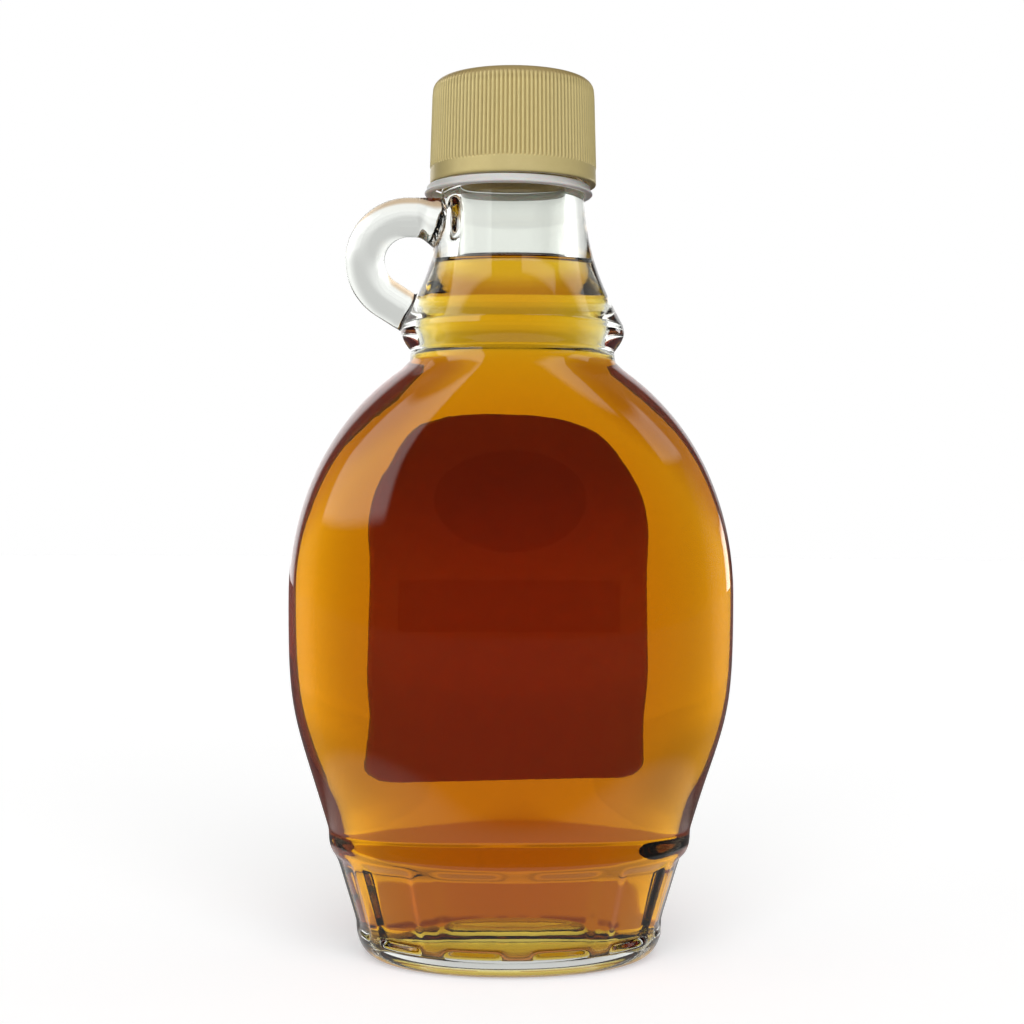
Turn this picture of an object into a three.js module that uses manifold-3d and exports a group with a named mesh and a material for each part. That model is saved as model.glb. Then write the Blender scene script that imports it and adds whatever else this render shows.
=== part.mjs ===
// Maple syrup flask: an oval glass flask with a loop handle, filled with syrup, with a ribbed screw cap,
// a loose plastic ring under the cap and an arched paper label on the back.
// Sizes are in millimetres. +Z is up, the label faces +Y and the handle points to -X.
import * as THREE from 'three';
import { mergeVertices } from 'three/addons/utils/BufferGeometryUtils.js';
import Module from 'manifold-3d';

const wasm = await Module();
wasm.setup();

// Body: an oval seen from the front, a slim column seen from the side
const BODY = {
  halfWidth: 40.25, // at the widest height
  widestZ: 65,
  crownRise: 47.15, // from the widest height to where the shoulder ellipse would close
  crownTopZ: 106.5,
  halfDepth: 26,
  deepestZ: 52,
  beltHalfWidth: 33.2, // where the straight taper of the foot meets the swelling of the body
  beltHalfDepth: 24.6,
  beltTopZ: 23.7,
  swellControls: [39.5, 44.3, 40.25, 44], // curve from the belt to the widest height
  sideControls: [26, 76, 22.8, 96], // curve from the deepest height to the top of the crown
  squareness: 2.6, // exponent of the oval section; 2 is an ellipse
  squareFromZ: 26, // the section grows squarer up to the next height
  squareToZ: 46,
  rounderFromZ: 88, // and from here it turns round up to the collar
};

// Foot: a slightly vertical band over a rounded heel and a contact ring round a shallow push-up
const FOOT = {
  halfWidth: 27.8,
  halfDepth: 23.6,
  bandTopZ: 6,
  heelHeight: 5.4,
  heelInset: 3.7,
  ringWidth: 2.6,
  pushUpInset: 7,
  pushUpRise: 1.4,
  squareness: 2.12,
};

// Moulded bead that runs round the flask above the panels
const BELT = { z: 19.7, proud: 0.6, spread: 3.6 };

// Sunk panels round the foot, with a rib in the middle of the front
const PANELS = {
  count: 12,
  halfAngle: 10, // of the sunk area, in degrees of the oval's own angle
  edgeAngle: 2.6,
  bottomZ: 4.6,
  topZ: 18,
  edgeHeight: 0.9,
  depth: 0.55,
};

// Collar and neck are round
const NECK = {
  grooveRadius: 18.6,
  grooveZ: 109.1,
  grooveControls: [18.6, 107.7], // curve that ends the shoulder in the groove
  bulgeRadius: 20.4,
  bulgeZ: 112.7,
  bulgeControls: [19.2, 109.9, 20.4, 111.3],
  flareRadius: 20.2,
  flareZ: 113.8,
  flareControls: [17.1, 119.6, 13.5, 126],
  radius: 13,
  topZ: 137,
  finishRadius: 12.6, // threaded part hidden in the cap
  finishStep: 0.6,
  finishZ: 141,
  mouthZ: 156.5,
};

// Inside of the glass
const CAVITY = {
  wall: 3.3,
  shoulderWall: 5.4, // measured level, at the top of the crown
  wallGrowsFromZ: 80,
  floorZ: 3.2, // lowest, along the wall
  cornerRadius: 4.5,
  domeRise: 4,
  domeFlat: 0.4, // share of the floor that the top of the dome takes up
  waistRadius: 10.8,
  waistZ: 110.6,
  waistControls: [13, 107.8, 10.8, 108.8],
  collarRadius: 11.8,
  collarZ: 115,
  collarControls: [10.8, 112, 11.8, 112.6],
  boreRadius: 9.6,
  boreZ: 124,
  boreControls: [11.8, 118.6, 9.6, 120.4],
};

// Loop handle: a round glass bar in the X-Z plane, its roots spreading towards the hole and sideways
const HANDLE = {
  centreX: -18.9,
  centreZ: 125.4,
  loopRadius: 8,
  barRadius: 3.6,
  startAngle: 90, // degrees from +X, turning over the top towards -X
  endAngle: 238,
  upperRootX: -11.5,
  lowerRootLength: 10.5,
  rootSpread: 2, // how much wider the bar is where it joins the glass
  rootLength: 6,
  steps: 22,
  sides: 14,
};

const SYRUP = { levelZ: 123.6, clearance: 0.3 };

const CAP = {
  bottomZ: 139.4,
  ribsFromZ: 142.3,
  ribsToZ: 155.9,
  topZ: 158.4,
  bottomRadius: 15.25,
  topRadius: 14.7,
  edgeRadius: 2.1,
  bandInset: 0.1, // of the plain band below the ribs
  ribs: 120,
  ribDepth: 0.3,
  skirt: 1.3,
  roof: 1.5,
  draft: 0.5, // by which the hollow narrows towards the roof
};

const RING = {
  shiftX: -0.8,
  bottomZ: 137.5,
  topZ: 139.1,
  innerRadius: 14,
  topRadius: 14.9,
  lipRadius: 15.3,
  lipHeight: 0.5,
};

const LABEL = {
  shiftX: 0.8, // stuck on a little off the middle
  halfWidth: 21.2,
  bottomZ: 30.7,
  springZ: 72.5, // where the arched top begins
  topZ: 95.1,
  taper: 2.6, // by which each side has drawn in at the bottom
  taperFromZ: 50,
  cornerRadius: 3,
  cornerShare: 0.3, // height of the row that rounds the corner, as a share of its radius
  bottomBow: 4, // by which the lower corners sit above the middle of the lower edge
  flatTop: 0.06, // share of the width that the flattened top keeps
  archShares: [0.3, 0.55, 0.75, 0.9, 1], // heights of the rows of the arch
  thickness: 0.3,
  gap: 0.4,
  columns: 10,
};

// Fineness of the meshes: sides of the round pieces, and heights at which the glass has a ring of points
const SIDES = { outer: 72, cavity: 40, syrup: 28, ring: 40 };
const CURVE_PIECES = 24;
const LEVELS = {
  panelMiddleZ: 9,
  lowerBodyZ: 30,
  upperBodyZ: 72,
  bulgeStartZ: 110.3,
  domeShares: [0.35, 0.65, 0.85], // of the floor's width
  cornerShares: [0, 0.12, 0.45, 1], // of the cavity's corner radius
  belowWaistZ: 108.4,
  belowCollarZ: 113,
};

const COLOURS = {
  glass: 0xdfe5e0,
  syrup: 0xb5650f,
  cap: 0xc2ab68,
  ring: 0xd6d3cf,
  label: 0xe9ddc2,
};

// Profiles: half-width or half-depth along x, height along y, as fine polylines

function valueAt(points, z) {
  const above = points.findIndex((p) => p.y >= z);
  const upper = above < 0 ? points.length - 1 : Math.max(1, above);
  const { x: fromX, y: fromZ } = points[upper - 1];
  const { x: toX, y: toZ } = points[upper];
  return THREE.MathUtils.lerp(fromX, toX, THREE.MathUtils.clamp((z - fromZ) / (toZ - fromZ), 0, 1));
}

// Collar bulge, concave flare and straight neck, the same seen from the front and from the side
function addNeck(path) {
  path.bezierCurveTo(...NECK.bulgeControls, NECK.bulgeRadius, NECK.bulgeZ);
  path.lineTo(NECK.flareRadius, NECK.flareZ);
  path.bezierCurveTo(...NECK.flareControls, NECK.radius, NECK.topZ);
  path.lineTo(NECK.radius, NECK.finishZ - NECK.finishStep);
  path.lineTo(NECK.finishRadius, NECK.finishZ);
  path.lineTo(NECK.finishRadius, NECK.mouthZ);
  return path;
}

function crownHalfWidth(z) {
  return BODY.halfWidth * Math.sqrt(1 - ((z - BODY.widestZ) / BODY.crownRise) ** 2);
}

function frontProfile() {
  const path = new THREE.Path();
  path.moveTo(FOOT.halfWidth, 0);
  path.lineTo(FOOT.halfWidth, FOOT.bandTopZ);
  path.lineTo(BODY.beltHalfWidth, BODY.beltTopZ);
  path.bezierCurveTo(...BODY.swellControls, BODY.halfWidth, BODY.widestZ);
  const crownAngle = Math.asin((BODY.crownTopZ - BODY.widestZ) / BODY.crownRise);
  path.absellipse(0, BODY.widestZ, BODY.halfWidth, BODY.crownRise, 0, crownAngle);
  path.quadraticCurveTo(...NECK.grooveControls, NECK.grooveRadius, NECK.grooveZ);
  return addNeck(path).getPoints(CURVE_PIECES);
}

function sideProfile() {
  const path = new THREE.Path();
  path.moveTo(FOOT.halfDepth, 0);
  path.lineTo(FOOT.halfDepth, FOOT.bandTopZ);
  path.lineTo(BODY.beltHalfDepth, BODY.beltTopZ);
  path.quadraticCurveTo(BODY.halfDepth, (BODY.beltTopZ + BODY.deepestZ) / 2, BODY.halfDepth, BODY.deepestZ);
  path.bezierCurveTo(...BODY.sideControls, crownHalfWidth(BODY.crownTopZ), BODY.crownTopZ);
  path.quadraticCurveTo(...NECK.grooveControls, NECK.grooveRadius, NECK.grooveZ);
  return addNeck(path).getPoints(CURVE_PIECES);
}

// Bore, from the round collar hollow to past the mouth
function boreProfile() {
  const path = new THREE.Path();
  const start = crownHalfWidth(BODY.crownTopZ) - CAVITY.shoulderWall;
  path.moveTo(start, BODY.crownTopZ);
  path.bezierCurveTo(...CAVITY.waistControls, CAVITY.waistRadius, CAVITY.waistZ);
  path.bezierCurveTo(...CAVITY.collarControls, CAVITY.collarRadius, CAVITY.collarZ);
  path.bezierCurveTo(...CAVITY.boreControls, CAVITY.boreRadius, CAVITY.boreZ);
  path.lineTo(CAVITY.boreRadius, NECK.mouthZ + 1);
  return path.getPoints(CURVE_PIECES);
}

const FRONT = frontProfile();
const SIDE = sideProfile();
const BORE = boreProfile();

// Exponent of the section: nearly an ellipse at the foot, squarer on the body, round on the collar
function squarenessAt(z) {
  const swollen = THREE.MathUtils.smoothstep(z, BODY.squareFromZ, BODY.squareToZ);
  const body = THREE.MathUtils.lerp(FOOT.squareness, BODY.squareness, swollen);
  return THREE.MathUtils.lerp(body, 2, THREE.MathUtils.smoothstep(z, BODY.rounderFromZ, NECK.grooveZ));
}

// Point of the oval section at the oval's own angle
function sectionPoint(angle, halfWidth, halfDepth, power, z) {
  const c = Math.cos(angle);
  const s = Math.sin(angle);
  const x = halfWidth * Math.sign(c) * Math.abs(c) ** (2 / power);
  const y = halfDepth * Math.sign(s) * Math.abs(s) ** (2 / power);
  return new THREE.Vector3(x, y, z);
}

// Reliefs of the outer surface, in millimetres outwards

function beltRelief(z) {
  const share = Math.abs(z - BELT.z) / BELT.spread;
  return share < 1 ? BELT.proud * Math.cos((Math.PI / 2) * share) ** 2 : 0;
}

function heelRelief(z) {
  const share = THREE.MathUtils.clamp((FOOT.heelHeight - z) / FOOT.heelHeight, 0, 1);
  return -FOOT.heelInset * (1 - Math.sqrt(1 - share * share));
}

function panelRelief(angle, z) {
  const pitch = 360 / PANELS.count;
  const turned = THREE.MathUtils.euclideanModulo(THREE.MathUtils.radToDeg(angle), pitch) - pitch / 2;
  const inPanel = 1 - THREE.MathUtils.smoothstep(
    Math.abs(turned), PANELS.halfAngle - PANELS.edgeAngle, PANELS.halfAngle + PANELS.edgeAngle);
  const { edgeHeight, bottomZ, topZ } = PANELS;
  const aboveBottom = THREE.MathUtils.smoothstep(z, bottomZ - edgeHeight, bottomZ + edgeHeight);
  const belowTop = 1 - THREE.MathUtils.smoothstep(z, topZ - edgeHeight, topZ + edgeHeight);
  return -PANELS.depth * inPanel * aboveBottom * belowTop;
}

function outerRing(z) {
  const ring = [];
  const base = beltRelief(z) + heelRelief(z);
  for (let i = 0; i < SIDES.outer; i++) {
    const angle = (2 * Math.PI * (i + 0.5)) / SIDES.outer;
    const relief = base + panelRelief(angle, z);
    ring.push(sectionPoint(
      angle, valueAt(FRONT, z) + relief, valueAt(SIDE, z) + relief, squarenessAt(z), z));
  }
  return ring;
}

// Ring of the underside at z = 0 or in the push-up, drawn in from the heel
function underRing(inset, z) {
  const ring = [];
  for (let i = 0; i < SIDES.outer; i++) {
    const angle = (2 * Math.PI * (i + 0.5)) / SIDES.outer;
    const drawnIn = FOOT.heelInset + inset;
    ring.push(sectionPoint(
      angle, FOOT.halfWidth - drawnIn, FOOT.halfDepth - drawnIn, squarenessAt(0), z));
  }
  return ring;
}

function wallAt(z) {
  const share = THREE.MathUtils.clamp(
    (z - CAVITY.wallGrowsFromZ) / (BODY.crownTopZ - CAVITY.wallGrowsFromZ), 0, 1);
  return CAVITY.wall + (CAVITY.shoulderWall - CAVITY.wall) * share ** 2;
}

// Ring of the hollow, drawn in by a clearance, over a floor with rounded corners
function cavityRing(z, sides, clearance = 0) {
  const floorZ = CAVITY.floorZ + clearance;
  const corner = CAVITY.cornerRadius;
  const share = THREE.MathUtils.clamp((corner - (z - floorZ)) / corner, 0, 1);
  const drawnIn = clearance + corner * (1 - Math.sqrt(1 - share * share));
  const inBody = z < BODY.crownTopZ;
  const halfWidth = inBody ? valueAt(FRONT, z) - wallAt(z) : valueAt(BORE, z);
  const halfDepth = inBody ? valueAt(SIDE, z) - wallAt(z) : valueAt(BORE, z);
  const ring = [];
  for (let i = 0; i < sides; i++) {
    const angle = (2 * Math.PI * i) / sides;
    ring.push(sectionPoint(
      angle, halfWidth - drawnIn, halfDepth - drawnIn, squarenessAt(z), z));
  }
  return ring;
}

// Rings of the hollow's domed floor, from the middle outwards
function floorRings(sides, clearance = 0) {
  const edge = cavityRing(CAVITY.floorZ + clearance, sides, clearance);
  return LEVELS.domeShares.map((share) => {
    const rise = CAVITY.domeRise * (1 - THREE.MathUtils.smoothstep(share, CAVITY.domeFlat, 1));
    return edge.map((p) => new THREE.Vector3(p.x * share, p.y * share, p.z + rise));
  });
}

// Meshes

function geometryFrom(positions, indices) {
  const geometry = new THREE.BufferGeometry();
  geometry.setAttribute('position', new THREE.Float32BufferAttribute(positions, 3));
  geometry.setIndex(indices);
  return geometry;
}

// Closed mesh through rings of equal count, counter-clockwise seen from the last ring. Its ends are
// closed by fans, or as strips where each ring runs along a strip and back; with ends = 'joined' the
// last ring joins the first instead
function loft(rings, ends = 'fans') {
  const count = rings[0].length;
  const positions = rings.flat().flatMap((p) => [p.x, p.y, p.z]);
  const indices = [];
  const bands = ends === 'joined' ? rings.length : rings.length - 1;
  for (let level = 0; level < bands; level++) {
    const above = (level + 1) % rings.length;
    for (let i = 0; i < count; i++) {
      const next = (i + 1) % count;
      const a = level * count + i;
      const b = level * count + next;
      const c = above * count + next;
      const d = above * count + i;
      indices.push(a, b, c, a, c, d);
    }
  }
  const last = rings.length - 1;
  if (ends === 'fans') {
    closeWithFan(rings[0], 0, positions, indices, true);
    closeWithFan(rings[last], last * count, positions, indices, false);
  } else if (ends === 'strips') {
    closeWithStrip(0, count, indices, true);
    closeWithStrip(last * count, count, indices, false);
  }
  return geometryFrom(positions, indices);
}

function closeWithStrip(first, count, indices, facingBack) {
  for (let i = 0; i < count / 2 - 1; i++) {
    const a = first + i;
    const b = a + 1;
    const d = first + count - 1 - i;
    const c = d - 1;
    indices.push(...(facingBack ? [c, b, a, d, c, a] : [a, b, c, a, c, d]));
  }
}

function closeWithFan(ring, first, positions, indices, facingBack) {
  const centre = new THREE.Vector3();
  ring.forEach((p) => centre.addScaledVector(p, 1 / ring.length));
  const hub = positions.length / 3;
  positions.push(centre.x, centre.y, centre.z);
  for (let i = 0; i < ring.length; i++) {
    const a = first + i;
    const b = first + ((i + 1) % ring.length);
    indices.push(...(facingBack ? [hub, b, a] : [hub, a, b]));
  }
}

function toSolid(geometry) {
  return new wasm.Manifold(new wasm.Mesh({
    numProp: 3,
    vertProperties: new Float32Array(geometry.attributes.position.array),
    triVerts: new Uint32Array(geometry.index.array),
  }));
}

function toGeometry(solid) {
  const mesh = solid.getMesh();
  return geometryFrom(Array.from(mesh.vertProperties), Array.from(mesh.triVerts));
}

// count heights from one to the other, both ends in
function heights(from, to, count) {
  return Array.from({ length: count }, (_, i) => from + ((to - from) * i) / (count - 1));
}

// Glass

function outerGeometry() {
  const { bottomZ, topZ, edgeHeight } = PANELS;
  const levels = [
    ...heights(0, FOOT.heelHeight * 0.6, 4),
    bottomZ - edgeHeight * 0.6,
    bottomZ + edgeHeight,
    ...heights(LEVELS.panelMiddleZ, topZ - edgeHeight, 3),
    topZ + edgeHeight * 0.6,
    BELT.z,
    (BELT.z + BODY.beltTopZ) / 2,
    BODY.beltTopZ,
    ...heights(LEVELS.lowerBodyZ, BODY.widestZ, 5),
    ...heights(LEVELS.upperBodyZ, BODY.crownTopZ - 2, 6),
    ...heights(BODY.crownTopZ, NECK.grooveZ, 3),
    ...heights(LEVELS.bulgeStartZ, NECK.bulgeZ, 3),
    ...heights(NECK.flareZ, NECK.topZ, 5),
    NECK.finishZ - NECK.finishStep,
    NECK.finishZ,
    NECK.mouthZ,
  ];
  const under = [
    underRing(FOOT.pushUpInset, FOOT.pushUpRise),
    underRing(FOOT.ringWidth, 0),
  ];
  return loft([...under, ...levels.map(outerRing)]);
}

function cavityLevels() {
  const { floorZ, cornerRadius } = CAVITY;
  return [
    ...LEVELS.cornerShares.map((share) => floorZ + cornerRadius * share),
    ...heights(BODY.beltTopZ, BODY.widestZ, 5),
    ...heights(LEVELS.upperBodyZ, BODY.crownTopZ, 6),
    LEVELS.belowWaistZ,
    CAVITY.waistZ,
    LEVELS.belowCollarZ,
    ...heights(CAVITY.collarZ, CAVITY.boreZ, 4),
  ];
}

// Centre line of the handle: a level upper limb, the loop, and a slanted lower limb
function handlePath() {
  const start = THREE.MathUtils.degToRad(HANDLE.startAngle);
  const end = THREE.MathUtils.degToRad(HANDLE.endAngle);
  const path = new THREE.Path();
  path.moveTo(HANDLE.upperRootX, HANDLE.centreZ + HANDLE.loopRadius);
  path.lineTo(HANDLE.centreX, HANDLE.centreZ + HANDLE.loopRadius);
  path.absarc(HANDLE.centreX, HANDLE.centreZ, HANDLE.loopRadius, start, end, false);
  const last = path.getPoint(1);
  path.lineTo(
    last.x - Math.sin(end) * HANDLE.lowerRootLength, last.y + Math.cos(end) * HANDLE.lowerRootLength);
  return path;
}

function handleGeometry() {
  const path = handlePath();
  const length = path.getLength();
  const rings = heights(0, 1, HANDLE.steps).map((share) => {
    const centre = path.getPointAt(share);
    const tangent = path.getTangentAt(share);
    const toRoot = Math.min(share, 1 - share) * length;
    const spread = HANDLE.rootSpread * (1 - THREE.MathUtils.smoothstep(toRoot, 0, HANDLE.rootLength));
    const radius = HANDLE.barRadius + spread;
    const ring = [];
    for (let i = 0; i < HANDLE.sides; i++) {
      const angle = (2 * Math.PI * i) / HANDLE.sides;
      const across = radius * Math.cos(angle) + spread;
      ring.push(new THREE.Vector3(
        centre.x - tangent.y * across, radius * Math.sin(angle), centre.y + tangent.x * across));
    }
    return ring;
  });
  return loft(rings.map((ring) => ring.reverse()));
}

function glassGeometry() {
  const levels = [...cavityLevels(), NECK.mouthZ + 1];
  const walls = levels.map((z) => cavityRing(z, SIDES.cavity));
  const cavity = toSolid(loft([...floorRings(SIDES.cavity), ...walls]));
  const outside = toSolid(outerGeometry()).add(toSolid(handleGeometry()));
  return toGeometry(outside.subtract(cavity));
}

// Syrup, up to its level in the neck

function syrupGeometry() {
  const levels = cavityLevels().filter((z) => z > CAVITY.floorZ + SYRUP.clearance);
  levels.unshift(CAVITY.floorZ + SYRUP.clearance);
  levels[levels.length - 1] = SYRUP.levelZ;
  const walls = levels.map((z) => cavityRing(z, SIDES.syrup, SYRUP.clearance));
  return loft([...floorRings(SIDES.syrup, SYRUP.clearance), ...walls]);
}

// Cap

function capRing(radius, z, ribDepth) {
  const ring = [];
  const count = CAP.ribs * 2;
  for (let i = 0; i < count; i++) {
    const angle = (2 * Math.PI * i) / count;
    const r = radius - (i % 2) * ribDepth;
    ring.push(new THREE.Vector3(r * Math.cos(angle), r * Math.sin(angle), z));
  }
  return ring;
}

function capGeometry() {
  const { bottomZ, topZ, ribsFromZ, ribsToZ, ribDepth, edgeRadius, bandInset, draft } = CAP;
  const radiusAt = (z) => THREE.MathUtils.mapLinear(z, bottomZ, topZ, CAP.bottomRadius, CAP.topRadius);
  const flatRadius = CAP.topRadius - edgeRadius;
  const outside = toSolid(loft([
    capRing(radiusAt(bottomZ) - bandInset, bottomZ, 0),
    capRing(radiusAt(ribsFromZ) - bandInset, ribsFromZ, 0),
    capRing(radiusAt(ribsFromZ), ribsFromZ + bandInset, ribDepth),
    capRing(radiusAt(ribsToZ), ribsToZ, ribDepth),
    capRing(flatRadius + edgeRadius * Math.SQRT1_2, topZ - edgeRadius * (1 - Math.SQRT1_2), 0),
    capRing(flatRadius, topZ, 0),
  ]));
  const innerRadius = CAP.bottomRadius - CAP.skirt;
  const overrun = 1; // the hollow starts this far below the skirt
  const innerHeight = topZ - CAP.roof - bottomZ + overrun;
  const hollow = new THREE.CylinderGeometry(innerRadius - draft, innerRadius, innerHeight, SIDES.ring);
  hollow.rotateX(Math.PI / 2);
  hollow.translate(0, 0, topZ - CAP.roof - innerHeight / 2);
  hollow.deleteAttribute('normal');
  hollow.deleteAttribute('uv');
  return toGeometry(outside.subtract(toSolid(mergeVertices(hollow))));
}

// Loose ring under the cap

function ringGeometry() {
  const section = [
    [RING.innerRadius, RING.bottomZ],
    [RING.lipRadius, RING.bottomZ],
    [RING.lipRadius, RING.bottomZ + RING.lipHeight],
    [RING.topRadius, RING.topZ],
    [RING.innerRadius, RING.topZ],
  ];
  const rings = section.map(([radius, z]) => {
    const ring = [];
    for (let i = 0; i < SIDES.ring; i++) {
      const angle = (2 * Math.PI * i) / SIDES.ring;
      ring.push(new THREE.Vector3(RING.shiftX + radius * Math.cos(angle), radius * Math.sin(angle), z));
    }
    return ring;
  });
  return loft(rings, 'joined');
}

// Label: rows from corner to corner, bent to the back of the flask

function labelHalfWidth(z) {
  const { halfWidth, bottomZ, springZ, topZ, taper, taperFromZ, cornerRadius, flatTop } = LABEL;
  const lowered = THREE.MathUtils.clamp((taperFromZ - z) / (taperFromZ - bottomZ), 0, 1);
  const full = halfWidth - taper * lowered ** 2;
  if (z < bottomZ + cornerRadius) {
    const drop = Math.min(1, (bottomZ + cornerRadius - z) / cornerRadius);
    return full - cornerRadius * (1 - Math.sqrt(1 - drop * drop));
  }
  const rise = THREE.MathUtils.clamp((z - springZ) / (topZ - springZ), 0, 1);
  return full * (flatTop + (1 - flatTop) * Math.sqrt(1 - rise * rise));
}

// Point on the back of the flask, across the label from its middle line, in the row that meets it at rowZ
function backPoint(across, rowZ, lift) {
  const fade = THREE.MathUtils.clamp((LABEL.springZ - rowZ) / (LABEL.springZ - LABEL.bottomZ), 0, 1);
  const z = rowZ + LABEL.bottomBow * fade * (across / LABEL.halfWidth) ** 2;
  const x = LABEL.shiftX + across;
  const power = squarenessAt(z);
  const share = Math.abs(x) / valueAt(FRONT, z);
  const depth = valueAt(SIDE, z) * (1 - share ** power) ** (1 / power);
  return new THREE.Vector3(x, depth + lift, z);
}

function labelGeometry() {
  const { bottomZ, springZ, topZ, cornerRadius, columns, gap, thickness } = LABEL;
  const rows = [
    bottomZ,
    bottomZ + cornerRadius * LABEL.cornerShare,
    ...heights(bottomZ + cornerRadius, springZ, 5),
    ...LABEL.archShares.map((share) => springZ + (topZ - springZ) * share),
  ];
  const rings = rows.map((z) => {
    const xs = heights(-labelHalfWidth(z), labelHalfWidth(z), columns + 1);
    const inner = xs.map((x) => backPoint(x, z, gap));
    const outer = xs.map((x) => backPoint(x, z, gap + thickness));
    return [...inner, ...outer.reverse()];
  });
  return loft(rings, 'strips');
}

// The flask

function addPiece(group, name, geometry, colour, roughness, metalness, opacity = 1) {
  const material = new THREE.MeshStandardMaterial({
    color: colour, roughness, metalness, opacity, transparent: opacity < 1,
  });
  const mesh = new THREE.Mesh(geometry, material);
  mesh.name = name;
  group.add(mesh);
}

const flask = new THREE.Group();
addPiece(flask, 'glass_bottle', glassGeometry(), COLOURS.glass, 0.05, 0, 0.35);
addPiece(flask, 'syrup', syrupGeometry(), COLOURS.syrup, 0.1, 0, 0.9);
addPiece(flask, 'cap', capGeometry(), COLOURS.cap, 0.35, 0.6);
addPiece(flask, 'tamper_ring', ringGeometry(), COLOURS.ring, 0.4, 0, 0.8);
addPiece(flask, 'label', labelGeometry(), COLOURS.label, 0.7, 0);

export default flask;
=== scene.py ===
# Maple syrup flask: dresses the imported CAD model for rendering.
# Shapes are worked out in millimetres and turned into metres when a mesh is made.
import math
import bpy
import bmesh
import numpy as np
from mathutils import Vector, Matrix


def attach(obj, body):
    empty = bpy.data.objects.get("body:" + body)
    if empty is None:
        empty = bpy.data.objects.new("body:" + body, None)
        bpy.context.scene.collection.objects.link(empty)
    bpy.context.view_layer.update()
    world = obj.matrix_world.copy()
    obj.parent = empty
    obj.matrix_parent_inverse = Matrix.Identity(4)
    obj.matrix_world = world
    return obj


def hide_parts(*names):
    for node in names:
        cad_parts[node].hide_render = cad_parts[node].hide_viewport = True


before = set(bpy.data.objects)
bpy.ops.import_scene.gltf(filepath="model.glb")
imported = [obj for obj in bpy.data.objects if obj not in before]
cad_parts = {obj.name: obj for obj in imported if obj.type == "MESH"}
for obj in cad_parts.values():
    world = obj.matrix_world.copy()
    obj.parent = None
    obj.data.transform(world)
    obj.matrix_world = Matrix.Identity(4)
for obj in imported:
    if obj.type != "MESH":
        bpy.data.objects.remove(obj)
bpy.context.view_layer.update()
mm = 0.001
scene = bpy.context.scene


# Camera and picture

cameraSet = {
    "distance": 336,  # from the flask's axis
    "height": 79.9,
    "yaw": 3.6,  # degrees to the left of straight on
    "roll": 0.3,  # degrees
    "lens": 64.7,
    "sensor": 36,
    "shiftX": 0.0007,
    "clip": (0.01, 20),  # metres
}

pictureSet = {
    "transform": "Standard",
    "exposure": 0.0,
    "bounces": 12,  # enough to cross the glass and the syrup and back
    "mirrorBounces": 8,
    "mattBounces": 2,
    "mirrorBlur": 0,  # keeps each bright edge in the glass sharp
}


def makeCamera():
    data = bpy.data.cameras.new("camera")
    data.lens = cameraSet["lens"]
    data.sensor_width = cameraSet["sensor"]
    data.shift_x = cameraSet["shiftX"]
    data.clip_start, data.clip_end = cameraSet["clip"]
    camera = bpy.data.objects.new("camera", data)
    scene.collection.objects.link(camera)
    yaw = math.radians(cameraSet["yaw"])
    away = Vector((-math.sin(yaw), -math.cos(yaw), 0))
    place = away * cameraSet["distance"] + Vector((0, 0, cameraSet["height"]))
    turn = (-away).to_track_quat("-Z", "Y").to_matrix().to_4x4()
    roll = Matrix.Rotation(math.radians(cameraSet["roll"]), 4, "Z")
    camera.matrix_world = Matrix.Translation(place * mm) @ turn @ roll
    scene.camera = camera


makeCamera()
scene.view_settings.view_transform = pictureSet["transform"]
scene.view_settings.exposure = pictureSet["exposure"]
scene.cycles.max_bounces = pictureSet["bounces"]
scene.cycles.transmission_bounces = pictureSet["bounces"]
scene.cycles.glossy_bounces = pictureSet["mirrorBounces"]
scene.cycles.diffuse_bounces = pictureSet["mattBounces"]
scene.cycles.blur_glossy = pictureSet["mirrorBlur"]
print("camera ready")


# Curves and meshes

def smoothStep(x, low, high):
    t = np.clip((x - low) / (high - low), 0, 1)
    return t * t * (3 - 2 * t)


def mixed(a, b, share):
    return a + (b - a) * share


def bezierRun(points, count=90):
    # quadratic or cubic curve as rows of (value, height), without its first point
    pts = np.array(points, float)
    t = np.linspace(0, 1, count + 1)[1:, None]
    if len(pts) == 3:
        return (1 - t) ** 2 * pts[0] + 2 * t * (1 - t) * pts[1] + t ** 2 * pts[2]
    return ((1 - t) ** 3 * pts[0] + 3 * t * (1 - t) ** 2 * pts[1]
            + 3 * t ** 2 * (1 - t) * pts[2] + t ** 3 * pts[3])


def profile(*runs):
    # joins points and curve runs into (heights, values) for np.interp
    rows = np.vstack([np.atleast_2d(r) for r in runs])
    return rows[:, 1], rows[:, 0]


def at(line, z):
    return np.interp(z, line[0], line[1])


def steps(start, *pairs):
    # heights from start through each (end, step)
    out = [start]
    for end, step in pairs:
        count = max(1, round((end - out[-1]) / step))
        out += list(np.linspace(out[-1], end, count + 1)[1:])
    return out


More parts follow.
